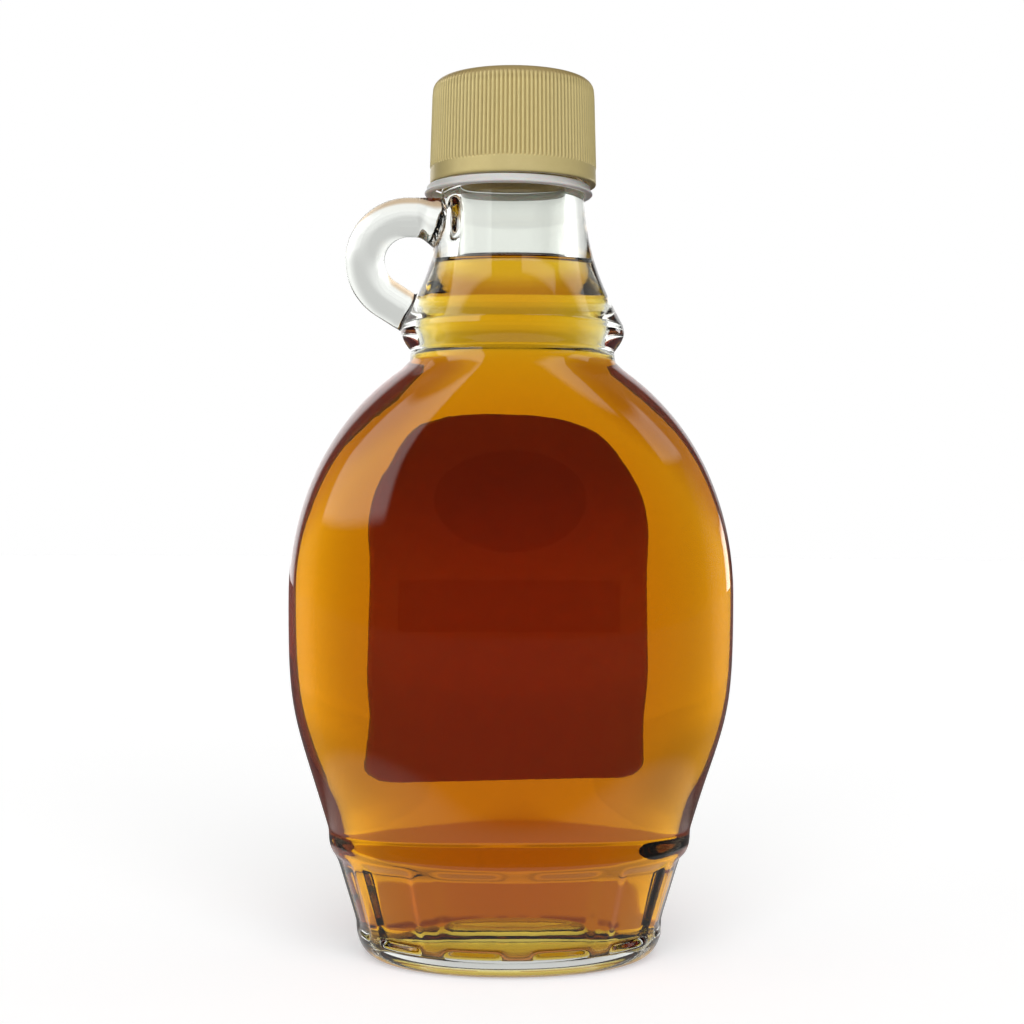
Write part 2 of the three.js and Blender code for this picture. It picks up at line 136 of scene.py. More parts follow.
def ringMesh(name, rings, ends="fans"):
    # closed mesh through rings of equal count (rows of x, y, z in millimetres); its ends are
    # "fans", "strips" where each ring runs along a strip and back, or "joined" to each other
    rings = [np.asarray(r, float) for r in rings]
    count = len(rings[0])
    points = np.vstack(rings)
    faces = []
    levels = len(rings)
    for level in range(levels if ends == "joined" else levels - 1):
        low, high = level * count, ((level + 1) % levels) * count
        for i in range(count):
            j = (i + 1) % count
            faces.append((low + i, low + j, high + j, high + i))
    base = (levels - 1) * count
    if ends == "fans":
        hub = len(points)
        points = np.vstack([points, rings[0].mean(axis=0), rings[-1].mean(axis=0)])
        faces += [(hub, (i + 1) % count, i) for i in range(count)]
        faces += [(hub + 1, base + i, base + (i + 1) % count) for i in range(count)]
    elif ends == "strips":
        for i in range(count // 2 - 1):
            a, b, c, d = i, i + 1, count - 2 - i, count - 1 - i
            faces += [(d, c, b, a), (base + a, base + b, base + c, base + d)]
    mesh = bpy.data.meshes.new(name)
    mesh.from_pydata((points * mm).tolist(), [], faces)
    mesh.update()
    return mesh


def addPiece(name, mesh, slotName, *nodes):
    piece = bpy.data.objects.new(name, mesh)
    scene.collection.objects.link(piece)
    mesh.shade_smooth()
    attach(piece, "root")
    if nodes:
        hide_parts(*nodes)
    return piece


# Shader helpers; tree is a material's or a group's nodes and links

def feed(tree, socket, value):
    # value is a number, a colour or another node's socket
    if isinstance(value, bpy.types.NodeSocket):
        tree.links.new(value, socket)
    else:
        socket.default_value = value


def sums(tree, kind, operation, values):
    node = tree.nodes.new(kind)
    node.operation = operation
    for socket, value in zip(node.inputs, values):
        feed(tree, socket, value)
    return node.outputs


def maths(tree, operation, *values):
    return sums(tree, "ShaderNodeMath", operation, values)[0]


def vectorMaths(tree, operation, *values):
    outputs = sums(tree, "ShaderNodeVectorMath", operation, values)
    return outputs["Value" if operation == "LENGTH" else "Vector"]


def scaleColour(tree, colour, scale):
    node = tree.nodes.new("ShaderNodeVectorMath")
    node.operation = "SCALE"
    feed(tree, node.inputs[0], colour)
    feed(tree, node.inputs["Scale"], scale)
    return node.outputs[0]


def split(tree, vector):
    # its x, y and z
    node = tree.nodes.new("ShaderNodeSeparateXYZ")
    feed(tree, node.inputs[0], vector)
    return node.outputs


def mixValue(tree, share, low, high):
    node = tree.nodes.new("ShaderNodeMix")
    for index, value in ((0, share), (2, low), (3, high)):
        feed(tree, node.inputs[index], value)
    return node.outputs[0]


def colourMix(tree, share, low, high):
    node = tree.nodes.new("ShaderNodeMix")
    node.data_type = "RGBA"
    for index, value in ((0, share), (6, low), (7, high)):
        feed(tree, node.inputs[index], value)
    return node.outputs[2]


def spreadMask(tree, value, low, high):
    # turns 0 to 1 into low to high
    node = tree.nodes.new("ShaderNodeMapRange")
    node.inputs["To Min"].default_value = low
    node.inputs["To Max"].default_value = high
    feed(tree, node.inputs["Value"], value)
    return node.outputs["Result"]


def rangeMask(tree, value, low, high, between="SMOOTHSTEP"):
    # 0 up to low, 1 from high on
    node = tree.nodes.new("ShaderNodeMapRange")
    node.interpolation_type = between
    node.inputs["From Min"].default_value = low
    node.inputs["From Max"].default_value = high
    feed(tree, node.inputs["Value"], value)
    return node.outputs["Result"]


def newMaterial(name):
    material = bpy.data.materials.new(name)
    material.use_nodes = True
    tree = material.node_tree
    tree.nodes.clear()
    output = tree.nodes.new("ShaderNodeOutputMaterial")
    shader = tree.nodes.new("ShaderNodeBsdfPrincipled")
    tree.links.new(shader.outputs["BSDF"], output.inputs["Surface"])
    coords = tree.nodes.new("ShaderNodeTexCoord")
    return material, tree, shader, coords.outputs["Object"]


def newGroup(name, inputs, outputs):
    group = bpy.data.node_groups.new(name, "ShaderNodeTree")
    for label, kind, value in inputs:
        socket = group.interface.new_socket(name=label, in_out="INPUT", socket_type=kind)
        if value is not None:
            socket.default_value = value
    for label, kind in outputs:
        group.interface.new_socket(name=label, in_out="OUTPUT", socket_type=kind)
    return group, group.nodes.new("NodeGroupInput"), group.nodes.new("NodeGroupOutput")


def placeGroup(tree, group, **values):
    # a group with its inputs fed by name, where _ stands for a space
    node = tree.nodes.new("ShaderNodeGroup")
    node.node_tree = group
    for label, value in values.items():
        feed(tree, node.inputs[label.replace("_", " ")], value)
    return node.outputs


def addBump(tree, shader, height, distance):
    bump = tree.nodes.new("ShaderNodeBump")
    bump.inputs["Strength"].default_value = 1
    bump.inputs["Distance"].default_value = distance * mm
    feed(tree, bump.inputs["Height"], height)
    feed(tree, shader.inputs["Normal"], bump.outputs["Normal"])


def makeMottle():
    # soft cloudy variation: two sizes of noise, mixed to one mask and one colour
    group, given, out = newGroup(
        "mottle",
        [("Vector", "NodeSocketVector", None), ("Scale", "NodeSocketFloat", 200.0),
         ("Fine Share", "NodeSocketFloat", 0.3),
         ("Dark Colour", "NodeSocketColor", (0.4, 0.4, 0.4, 1)),
         ("Light Colour", "NodeSocketColor", (0.6, 0.6, 0.6, 1))],
        [("Mask", "NodeSocketFloat"), ("Colour", "NodeSocketColor")])

    def noise(scale, detail):
        node = group.nodes.new("ShaderNodeTexNoise")
        node.inputs["Detail"].default_value = detail
        feed(group, node.inputs["Vector"], given.outputs["Vector"])
        feed(group, node.inputs["Scale"], scale)
        return node.outputs["Fac"]

    broadScale = given.outputs["Scale"]
    fineScale = maths(group, "MULTIPLY", broadScale, 9.0)
    mask = mixValue(group, given.outputs["Fine Share"], noise(broadScale, 2), noise(fineScale, 4))
    colour = colourMix(group, mask, given.outputs["Dark Colour"], given.outputs["Light Colour"])
    feed(group, out.inputs["Mask"], mask)
    feed(group, out.inputs["Colour"], colour)
    return group


mottleGroup = makeMottle()


def mottle(tree, place, scale, fineShare, colours):
    return placeGroup(tree, mottleGroup, Vector=place, Scale=scale, Fine_Share=fineShare,
                      Dark_Colour=colours[0], Light_Colour=colours[1])


# Glass

body = {
    "halfWidth": 40.25, "widestZ": 65, "crownRise": 47.15, "crownTopZ": 106.5,
    "halfDepth": 26, "deepestZ": 52,
    "beltHalfWidth": 33.2, "beltHalfDepth": 24.6, "beltTopZ": 23.7,
    "swellControls": [(39.5, 44.3), (40.25, 44)],
    "sideControls": [(26, 76), (22.8, 96)],
    "squareness": 2.6, "squareFromZ": 26, "squareToZ": 46, "rounderFromZ": 88,
}

foot = {
    "halfWidth": 27.8, "halfDepth": 23.6, "bandTopZ": 6,
    "heelHeight": 5.4, "heelInset": 3.7, "ringWidth": 2.6,
    "pushUpInset": 7, "pushUpRise": 1.4, "squareness": 2.12,
}

belt = {"z": 19.7, "proud": 0.6, "spread": 3.6}

panels = {
    "count": 12, "halfAngle": 10, "edgeAngle": 2.6,
    "bottomZ": 4.6, "topZ": 18, "edgeHeight": 0.9, "depth": 0.55,
}

neck = {
    "grooveRadius": 18.6, "grooveZ": 109.1, "grooveControl": (18.6, 107.7),
    "bulgeRadius": 20.4, "bulgeZ": 112.7, "bulgeControls": [(19.2, 109.9), (20.4, 111.3)],
    "flareRadius": 20.2, "flareZ": 113.8, "flareControls": [(17.1, 119.6), (13.5, 126)],
    "radius": 13, "topZ": 137,
    "finishRadius": 12.6, "finishStep": 0.6, "finishZ": 141, "mouthZ": 156.5,
}

cavity = {
    "wall": 3.3, "shoulderWall": 5.4, "wallGrowsFromZ": 80,
    "floorZ": 3.2, "cornerRadius": 4.5, "domeRise": 4, "domeFlat": 0.4,
    "waistRadius": 10.8, "waistZ": 110.6, "waistControls": [(13, 107.8), (10.8, 108.8)],
    "collarRadius": 11.8, "collarZ": 115, "collarControls": [(10.8, 112), (11.8, 112.6)],
    "boreRadius": 9.6, "boreZ": 124, "boreControls": [(11.8, 118.6), (9.6, 120.4)],
    # how far the inside waves in and out, and where that starts, is full, fades and is gone
    "ripple": 0.1, "rippleZ": (12, 30, 92, 108),
    # rings left by blowing, and their spacing
    "collarRipple": 0.1, "collarRippleZ": (108, 111, 116, 119), "collarWave": 1.5,
}

handle = {
    "centreX": -18.9, "centreZ": 125.4, "loopRadius": 8, "barRadius": 3.6,
    "startAngle": 90, "endAngle": 238,
    "upperRootX": -11.5, "lowerRootLength": 10.5, "rootSpread": 2, "rootLength": 6,
    "steps": 90, "sides": 48,
    "roots": [(-14.6, 133.4), (-19.0, 116.4)],  # x and z where its ends meet the flask
    "softReach": 6.5, "softTo": -12.4, "softRounds": 6,  # how far from them it is smoothed
    "creaseAngle": 24,
}

syrup = {
    "levelZ": 123.6,
    "intoWall": 0.15,  # how far it reaches into the glass
    "meniscus": 1.1,  # how high it climbs at the wall
    "meniscusWidth": 0.9,
    "surfaceInsets": (0.1, 0.25, 0.45, 0.7, 1.0, 1.4, 1.9, 2.6, 3.5, 5),  # rings of its top
    "sides": 180,
    "ior": 1.465,
    "density": 214,  # of the absorption, per metre
    "colour": (0.940, 0.802, 0, 1),  # what the absorption leaves
}

glassLook = {
    "ior": 1.5,
    "tint": [(0.84, 0.86, 0.82, 1), (0.88, 0.90, 0.865, 1)],
    "wetTint": [(0.97, 0.985, 0.975, 1), (0.985, 0.995, 0.99, 1)],
    "ripple": 0.02,  # mm
}


def crownHalfWidth(z):
    return body["halfWidth"] * np.sqrt(1 - ((z - body["widestZ"]) / body["crownRise"]) ** 2)


def neckRuns():
    bulge = (neck["bulgeRadius"], neck["bulgeZ"])
    flare = (neck["flareRadius"], neck["flareZ"])
    top = (neck["radius"], neck["topZ"])
    return [
        bezierRun([(neck["grooveRadius"], neck["grooveZ"]), *neck["bulgeControls"], bulge]),
        [flare],
        bezierRun([flare, *neck["flareControls"], top]),
        [(neck["radius"], neck["finishZ"] - neck["finishStep"])],
        [(neck["finishRadius"], neck["finishZ"])],
        [(neck["finishRadius"], neck["mouthZ"])],
    ]


def frontProfile():
    beltTop = (body["beltHalfWidth"], body["beltTopZ"])
    crownZ = np.linspace(body["widestZ"], body["crownTopZ"], 140)[1:]
    crownTop = (crownHalfWidth(body["crownTopZ"]), body["crownTopZ"])
    return profile(
        [(foot["halfWidth"], 0), (foot["halfWidth"], foot["bandTopZ"]), beltTop],
        bezierRun([beltTop, *body["swellControls"], (body["halfWidth"], body["widestZ"])]),
        np.column_stack([crownHalfWidth(crownZ), crownZ]),
        bezierRun([crownTop, neck["grooveControl"], (neck["grooveRadius"], neck["grooveZ"])]),
        *neckRuns())


def sideProfile():
    beltTop = (body["beltHalfDepth"], body["beltTopZ"])
    middle = (body["halfDepth"], (body["beltTopZ"] + body["deepestZ"]) / 2)
    deepest = (body["halfDepth"], body["deepestZ"])
    crownTop = (crownHalfWidth(body["crownTopZ"]), body["crownTopZ"])
    return profile(
        [(foot["halfDepth"], 0), (foot["halfDepth"], foot["bandTopZ"]), beltTop],
        bezierRun([beltTop, middle, deepest]),
        bezierRun([deepest, *body["sideControls"], crownTop]),
        bezierRun([crownTop, neck["grooveControl"], (neck["grooveRadius"], neck["grooveZ"])]),
        *neckRuns())


def boreProfile():
    start = (crownHalfWidth(body["crownTopZ"]) - cavity["shoulderWall"], body["crownTopZ"])
    waist = (cavity["waistRadius"], cavity["waistZ"])
    collar = (cavity["collarRadius"], cavity["collarZ"])
    bore = (cavity["boreRadius"], cavity["boreZ"])
    return profile(
        [start],
        bezierRun([start, *cavity["waistControls"], waist]),
        bezierRun([waist, *cavity["collarControls"], collar]),
        bezierRun([collar, *cavity["boreControls"], bore]),
        [(cavity["boreRadius"], neck["mouthZ"])])


frontLine, sideLine, boreLine = frontProfile(), sideProfile(), boreProfile()


def squarenessAt(z):
    onBody = mixed(foot["squareness"], body["squareness"],
                   smoothStep(z, body["squareFromZ"], body["squareToZ"]))
    return mixed(onBody, 2, smoothStep(z, body["rounderFromZ"], neck["grooveZ"]))


def ovalRing(angles, halfWidth, halfDepth, power, z):
    c, s = np.cos(angles), np.sin(angles)
    return np.column_stack([
        halfWidth * np.sign(c) * np.abs(c) ** (2 / power),
        halfDepth * np.sign(s) * np.abs(s) ** (2 / power),
        np.full(len(angles), float(z)) + 0 * c])


def panelAngles():
    # angles of the outer rings, closer together over the edges of the panels
    half = [0, 1.3, 2.4, 3.2, 4.0, 4.8, 5.6, 6.5, 7.6, 9.4, 11.2, 13.1]
    pitch = 360 / panels["count"]
    sector = half + [pitch / 2] + [pitch - a for a in reversed(half[1:])]
    return np.radians([k * pitch + a for k in range(panels["count"]) for a in sector])


outerAngles = panelAngles()


def beltRelief(z):
    share = abs(z - belt["z"]) / belt["spread"]
    return belt["proud"] * math.cos(math.pi / 2 * share) ** 2 if share < 1 else 0


def heelRelief(z):
    share = min(1, max(0, (foot["heelHeight"] - z) / foot["heelHeight"]))
    return -foot["heelInset"] * (1 - math.sqrt(1 - share * share))


def panelRelief(z):
    pitch = 360 / panels["count"]
    turned = np.abs(np.degrees(outerAngles) % pitch - pitch / 2)
    inPanel = 1 - smoothStep(turned, panels["halfAngle"] - panels["edgeAngle"],
                             panels["halfAngle"] + panels["edgeAngle"])
    edge = panels["edgeHeight"]
    aboveBottom = smoothStep(z, panels["bottomZ"] - edge, panels["bottomZ"] + edge)
    belowTop = 1 - smoothStep(z, panels["topZ"] - edge, panels["topZ"] + edge)
    return -panels["depth"] * inPanel * aboveBottom * belowTop


def outerRing(z):
    relief = beltRelief(z) + heelRelief(z) + panelRelief(z)
    return ovalRing(outerAngles, at(frontLine, z) + relief, at(sideLine, z) + relief,
                    squarenessAt(z), z)


def underRing(inset, z):
    drawnIn = foot["heelInset"] + inset
    return ovalRing(outerAngles, foot["halfWidth"] - drawnIn, foot["halfDepth"] - drawnIn,
                    squarenessAt(0), z)


def wallAt(z):
    share = np.clip((z - cavity["wallGrowsFromZ"])
                    / (body["crownTopZ"] - cavity["wallGrowsFromZ"]), 0, 1)
    return cavity["wall"] + (cavity["shoulderWall"] - cavity["wall"]) * share ** 2


def humpAt(z, start, full, fading, gone):
    return smoothStep(z, start, full) * (1 - smoothStep(z, fading, gone))


def rippleAt(angles, z):
    # slow waves of the blown inside, gone at the floor and in the bore, and rings at the collar
    wave = (np.sin(2 * angles + 0.061 * z + 0.7) + 0.7 * np.sin(3 * angles - 0.083 * z + 2.1)
            + 0.5 * np.sin(5 * angles + 0.13 * z) + 0.4 * np.sin(0.19 * z + angles))
    rings = np.sin(z * 2 * math.pi / cavity["collarWave"] + 0.7 * np.sin(3 * angles) + angles)
    return (cavity["ripple"] * humpAt(z, *cavity["rippleZ"]) * wave
            + cavity["collarRipple"] * humpAt(z, *cavity["collarRippleZ"]) * rings)


def cavityRing(angles, z, grow=0):
    # grow pushes the ring into the wall, for the syrup that wets the glass
    floorZ = cavity["floorZ"] - grow
    corner = cavity["cornerRadius"]
    share = min(1, max(0, (corner - (z - floorZ)) / corner))
    drawnIn = corner * (1 - math.sqrt(1 - share * share)) - grow + rippleAt(angles, z)
    inBody = z < body["crownTopZ"]
    halfWidth = at(frontLine, z) - wallAt(z) if inBody else at(boreLine, z)
    halfDepth = at(sideLine, z) - wallAt(z) if inBody else at(boreLine, z)
    return ovalRing(angles, halfWidth - drawnIn, halfDepth - drawnIn, squarenessAt(z), z)


def floorRings(angles, grow=0):
    # domed floor of the hollow, from its middle outwards
    edge = cavityRing(angles, cavity["floorZ"] - grow, grow)
    rings = []
    for share in (0.2, *np.linspace(cavity["domeFlat"], 1, 18, endpoint=False)):
        ring = edge * (share, share, 1)
        ring[:, 2] += cavity["domeRise"] * (1 - smoothStep(share, cavity["domeFlat"], 1))
        rings.append(ring)
    return rings


def cavityHeights(topZ, grow=0):
    floorZ = cavity["floorZ"] - grow
    turn = [floorZ + cavity["cornerRadius"] * (1 - math.cos(a))
            for a in np.linspace(0, math.pi / 2, 16)]
    return turn + steps(turn[-1], (100, 1.8), (118, 0.5), (topZ, 0.9))[1:]


def handleRings():
    start, end = (math.radians(handle[k]) for k in ("startAngle", "endAngle"))
    centre = np.array([handle["centreX"], handle["centreZ"]])
    loop = handle["loopRadius"]
    arc = [centre + loop * np.array([math.cos(a), math.sin(a)])
           for a in np.linspace(start, end, 80)]
    first = np.array([handle["upperRootX"], handle["centreZ"] + loop])
    last = arc[-1] + handle["lowerRootLength"] * np.array([-math.sin(end), math.cos(end)])
    line = np.array([*np.linspace(first, arc[0], 20)[:-1], *arc,
                     *np.linspace(arc[-1], last, 24)[1:]])
    gaps = np.linalg.norm(np.diff(line, axis=0), axis=1)
    along = np.concatenate([[0], np.cumsum(gaps)])
    length = along[-1]

    def pointAt(s):
        s = min(length, max(0, s))
        return np.array([np.interp(s, along, line[:, k]) for k in (0, 1)])

    rings = []
    around = np.linspace(0, 2 * math.pi, handle["sides"], endpoint=False)
    near = 0.3  # how far ahead and behind the direction is taken
    for s in np.linspace(0, length, handle["steps"]):
        here, reach = pointAt(s), pointAt(s + near) - pointAt(s - near)
        tangent = reach / np.linalg.norm(reach)
        spread = handle["rootSpread"] * (1 - smoothStep(min(s, length - s), 0, handle["rootLength"]))
        radius = handle["barRadius"] + spread
        across = radius * np.cos(around) + spread
        rings.append(np.column_stack([
            here[0] - tangent[1] * across, radius * np.sin(around), here[1] + tangent[0] * across]))
    return [ring[::-1] for ring in rings]


def joinSolids(base, extra):
    # one mesh from two solids, through an exact boolean
    baseObj = bpy.data.objects.new("joinBase", base)
    extraObj = bpy.data.objects.new("joinExtra", extra)
    scene.collection.objects.link(baseObj)
    scene.collection.objects.link(extraObj)
    cut = baseObj.modifiers.new("join", "BOOLEAN")
    cut.operation, cut.solver, cut.object = "UNION", "EXACT", extraObj
    ready = baseObj.evaluated_get(bpy.context.evaluated_depsgraph_get())
    mesh = bpy.data.meshes.new_from_object(ready)
    bpy.data.objects.remove(baseObj)
    bpy.data.objects.remove(extraObj)
    return mesh


def softenRoots(mesh):
    # rounds the line where the handle meets the flask
    bm = bmesh.new()
    bm.from_mesh(mesh)
    roots = [Vector((x, 0, z)) * mm for x, z in handle["roots"]]
    near = {v for v in bm.verts if v.co.x < handle["softTo"] * mm
            and min((v.co - r).length for r in roots) < handle["softReach"] * mm}
    ring = set()
    for e in bm.edges:
        if e.is_manifold and e.calc_face_angle(0) > math.radians(handle["creaseAngle"]):
            ring.update(near.intersection(e.verts))
    for _ in range(3):
        ring |= {e.other_vert(v) for v in ring for e in v.link_edges}
    chosen = sorted(ring & near, key=lambda v: v.index)
    for _ in range(handle["softRounds"]):
        bmesh.ops.smooth_vert(bm, verts=chosen, factor=0.5,
                              use_axis_x=True, use_axis_y=True, use_axis_z=True)
    bm.to_mesh(mesh)
    bm.free()


def makeGlassMesh():
    dome = foot["pushUpRise"]
    under = [underRing(inset, z) for inset, z in [  # from the middle of the push-up outwards
        (17, dome + 0.3), (12, dome + 0.25), (9, dome + 0.1), (foot["pushUpInset"], dome - 0.2),
        (5.6, dome * 0.5), (4.2, 0.18), (foot["ringWidth"], 0.02)]]
    heelZ = [foot["heelHeight"] * (1 - math.cos(a)) for a in np.linspace(0, 0.62, 9)]
    # closer together at the heel, the ends of the panels, the belt and the collar
    levels = heelZ + steps(heelZ[-1], (3.6, 0.35), (5.8, 0.25), (16.6, 1.1), (19.4, 0.25),
                           (24.0, 0.42), (107, 1.4), (116, 0.25), (137, 0.95),
                           (140.4, 1.2), (141, 0.3), (156.5, 3))[1:]
    outer = [outerRing(z) for z in levels]
    inner = floorRings(outerAngles) + [
        cavityRing(outerAngles, z) for z in cavityHeights(neck["mouthZ"])]
    shell = ringMesh("glass_flask", under + outer + inner[::-1])
    return joinSolids(shell, ringMesh("handleBar", handleRings()))


def markWetGlass(mesh):
    # the faces that the syrup touches take the second material
    margin, neckMiddle = 0.5, 3.5  # below the floor, and from the neck's outside into its wall
    for face in mesh.polygons:
        x, y, z = (v / mm for v in face.center)
        if cavity["floorZ"] - margin < z < syrup["levelZ"]:
            middle = wallAt(z) / 2 if z < body["crownTopZ"] else neckMiddle
            wide, deep = at(frontLine, z) - middle, at(sideLine, z) - middle
            power = squarenessAt(z)
            if (abs(x) / wide) ** power + (abs(y) / deep) ** power < 1:
                face.material_index = 1


def glassMaterial(name, mirror, tints):
    material, tree, shader, place = newMaterial(name)
    waves = mottle(tree, place, 60.0, 0.12, tints)
    feed(tree, shader.inputs["Base Color"], waves["Colour"])
    shader.inputs["Specular Tint"].default_value = mirror
    shader.inputs["Roughness"].default_value = 0
    shader.inputs["IOR"].default_value = glassLook["ior"]
    shader.inputs["Transmission Weight"].default_value = 1
    addBump(tree, shader, waves["Mask"], glassLook["ripple"])
    return material


glassMesh = makeGlassMesh()
softenRoots(glassMesh)
addPiece("glass_flask", glassMesh, "clear_glass", "glass_bottle")
glassMesh.materials.clear()
for coat in (glassMaterial("clear moulded glass", (1, 1, 1, 1), glassLook["tint"]),
             glassMaterial("glass wetted by syrup", (0, 0, 0, 1), glassLook["wetTint"])):
    glassMesh.materials.append(coat)
markWetGlass(glassMesh)
print("glass ready,", len(glassMesh.polygons), "faces")


# Syrup

def syrupMesh():
    angles = np.linspace(0, 2 * math.pi, syrup["sides"], endpoint=False)
    grow = syrup["intoWall"]
    edgeZ = syrup["levelZ"] + syrup["meniscus"]
    rings = floorRings(angles, grow) + [
        cavityRing(angles, z, grow) for z in cavityHeights(edgeZ, grow)]
    for inset in syrup["surfaceInsets"]:
        ring = cavityRing(angles, edgeZ, grow - inset)
        ring[:, 2] = edgeZ - syrup["meniscus"] * (1 - math.exp(-inset / syrup["meniscusWidth"]))
        rings.append(ring)
    return ringMesh("syrup_fill", rings)


def syrupMaterial():
    material, tree, shader, place = newMaterial("amber syrup")
    cloud = mottle(tree, place, 40.0, 0.05, [(0.97, 0.96, 0.94, 1), (1, 1, 1, 1)])
    feed(tree, shader.inputs["Base Color"], cloud["Colour"])
    shader.inputs["Roughness"].default_value = 0
    shader.inputs["IOR"].default_value = syrup["ior"]
    shader.inputs["Specular Tint"].default_value = (0, 0, 0, 1)
    shader.inputs["Transmission Weight"].default_value = 1
    depth = tree.nodes.new("ShaderNodeVolumeAbsorption")
    depth.inputs["Color"].default_value = syrup["colour"]
    depth.inputs["Density"].default_value = syrup["density"]
    feed(tree, tree.nodes["Material Output"].inputs["Volume"], depth.outputs["Volume"])
    return material


syrupFill = addPiece("syrup_fill", syrupMesh(), "amber_syrup", "syrup")
syrupFill.data.materials.append(syrupMaterial())
print("syrup ready")


# Cap

cap = {
    "bottomZ": 139.4, "bandTopZ": 142.3, "ribsToZ": 155.9, "topZ": 158.4,
    "bottomRadius": 15.25, "topRadius": 14.7, "edgeRadius": 2.1,
    "ribs": 120, "perRib": 6, "ribDepth": 0.34, "bandInset": 0.1,
    "skirt": 1.3, "roof": 1.5,  # thicknesses
    "gold": [(0.76, 0.62, 0.26, 1), (0.92, 0.78, 0.36, 1)],
    # painted shade: the grooves between the ribs are coloured darker than the gold
    "grooveShadeColour": (0.42, 0.31, 0.12, 1), "grooveShadeFrom": 0.02,  # mm below the ribs
    "metallic": 0.25, "roughness": (0.3, 0.42), "grain": 0.012,
}


def capMesh():
    angles = np.linspace(0, 2 * math.pi, cap["ribs"] * cap["perRib"], endpoint=False)
    groove = (0.5 - 0.5 * np.cos(angles * cap["ribs"])) ** 2  # round ribs, narrow grooves
    bottomZ, bandTopZ, topZ = cap["bottomZ"], cap["bandTopZ"], cap["topZ"]

    def radiusAt(z):
        return mixed(cap["bottomRadius"], cap["topRadius"], (z - bottomZ) / (topZ - bottomZ))

    def ring(radius, z, depth=0):
        r = radius - depth * groove
        return np.column_stack([r * np.cos(angles), r * np.sin(angles), np.full(len(angles), z)])

    inner = cap["bottomRadius"] - cap["skirt"]
    band = radiusAt(bottomZ) - cap["bandInset"]
    flat = cap["topRadius"] - cap["edgeRadius"]
    roofZ = topZ - cap["roof"]
    # hollow and lower edge, plain band, start of the ribs, ribs, rounded edge, top
    rings = [ring(radius, z) for radius, z in [
        (inner - 2.5, roofZ), (inner - 0.5, roofZ), (inner, bottomZ + 0.2), (inner + 0.15, bottomZ),
        (band - 0.25, bottomZ), (band - 0.07, bottomZ + 0.07), (band, bottomZ + 0.25)]]
    for z in steps(bottomZ + 0.6, (bandTopZ - 0.15, 0.6)):
        rings.append(ring(radiusAt(z) - cap["bandInset"], z))
    for lift, share in [(0, 0), (0.12, 0.5), (0.3, 1)]:
        z = bandTopZ + lift
        rings.append(ring(radiusAt(z) - cap["bandInset"] * (1 - share), z, cap["ribDepth"] * share))
    for z in steps(bandTopZ + 1, (cap["ribsToZ"] - 0.5, 1.6)):
        rings.append(ring(radiusAt(z), z, cap["ribDepth"]))
    for a in np.linspace(0, math.pi / 2, 12):
        z = topZ - cap["edgeRadius"] * (1 - math.sin(a))
        r = flat + cap["edgeRadius"] * math.cos(a)
        rings.append(ring(min(r, radiusAt(z)), z, cap["ribDepth"] * max(0, 1 - a / 0.75)))
    rings += [ring(flat - 0.8, topZ), ring(flat - 4, topZ - 0.12)]
    return ringMesh("gold_cap", rings)


def capMaterial():
    material, tree, shader, place = newMaterial("gold satin plastic")
    flecks = mottle(tree, place, 900.0, 0.6, cap["gold"])
    # painted shade: how far a point lies below the tops of the ribs colours the grooves darker
    radius = vectorMaths(tree, "LENGTH", vectorMaths(tree, "MULTIPLY", place, (1, 1, 0)))
    slope = (cap["topRadius"] - cap["bottomRadius"]) / (cap["topZ"] - cap["bottomZ"])
    surface = maths(tree, "MULTIPLY_ADD", split(tree, place)["Z"], slope,
                    (cap["bottomRadius"] - slope * cap["bottomZ"]) * mm)
    clearOfGrooveShade = rangeMask(tree, maths(tree, "SUBTRACT", surface, radius),
                       cap["ribDepth"] * mm, cap["grooveShadeFrom"] * mm, "LINEAR")
    colour = colourMix(tree, clearOfGrooveShade, cap["grooveShadeColour"], flecks["Colour"])
    feed(tree, shader.inputs["Base Color"], colour)
    feed(tree, shader.inputs["Roughness"], spreadMask(tree, flecks["Mask"], *cap["roughness"]))
    shader.inputs["Metallic"].default_value = cap["metallic"]
    addBump(tree, shader, flecks["Mask"], cap["grain"])
    return material


goldCap = addPiece("gold_cap", capMesh(), "gold_plastic", "cap")
goldCap.data.materials.append(capMaterial())
print("cap ready")


# Ring under the cap

looseRing = {
    "shiftX": -0.8, "bottomZ": 137.5, "topZ": 139.1,
    "innerRadius": 14, "topRadius": 14.9, "lipRadius": 15.3, "lipHeight": 0.5,
    "sides": 160,
    "milk": [(0.60, 0.59, 0.56, 1), (0.74, 0.73, 0.71, 1)],
    "roughness": (0.25, 0.45), "scatter": 0.3, "scatterDepth": 1, "grain": 0.02,
}


def ringPieceMesh():
    inner, top, lip = (looseRing[k] for k in ("innerRadius", "topRadius", "lipRadius"))
    low, high = looseRing["bottomZ"], looseRing["topZ"]
    lipZ = low + looseRing["lipHeight"]
    section = [
        (inner, low + 0.15), (inner + 0.15, low), (lip - 0.2, low), (lip, low + 0.2),
        (lip, lipZ - 0.1), (lip - 0.15, lipZ + 0.08), (top + 0.02, lipZ + 0.3),
        (top, high - 0.15), (top - 0.15, high), (inner + 0.15, high), (inner, high - 0.15)]
    angles = np.linspace(0, 2 * math.pi, looseRing["sides"], endpoint=False)
    rings = [np.column_stack([looseRing["shiftX"] + r * np.cos(angles), r * np.sin(angles),
                              np.full(len(angles), z)]) for r, z in section]
    return ringMesh("milky_ring", rings, "joined")


def ringMaterial():
    material, tree, shader, place = newMaterial("milky plastic")
    cloud = mottle(tree, place, 300.0, 0.3, looseRing["milk"])
    feed(tree, shader.inputs["Base Color"], cloud["Colour"])
    feed(tree, shader.inputs["Roughness"], spreadMask(tree, cloud["Mask"], *looseRing["roughness"]))
    shader.inputs["Subsurface Weight"].default_value = looseRing["scatter"]
    shader.inputs["Subsurface Scale"].default_value = looseRing["scatterDepth"] * mm
    addBump(tree, shader, cloud["Mask"], looseRing["grain"])
    return material


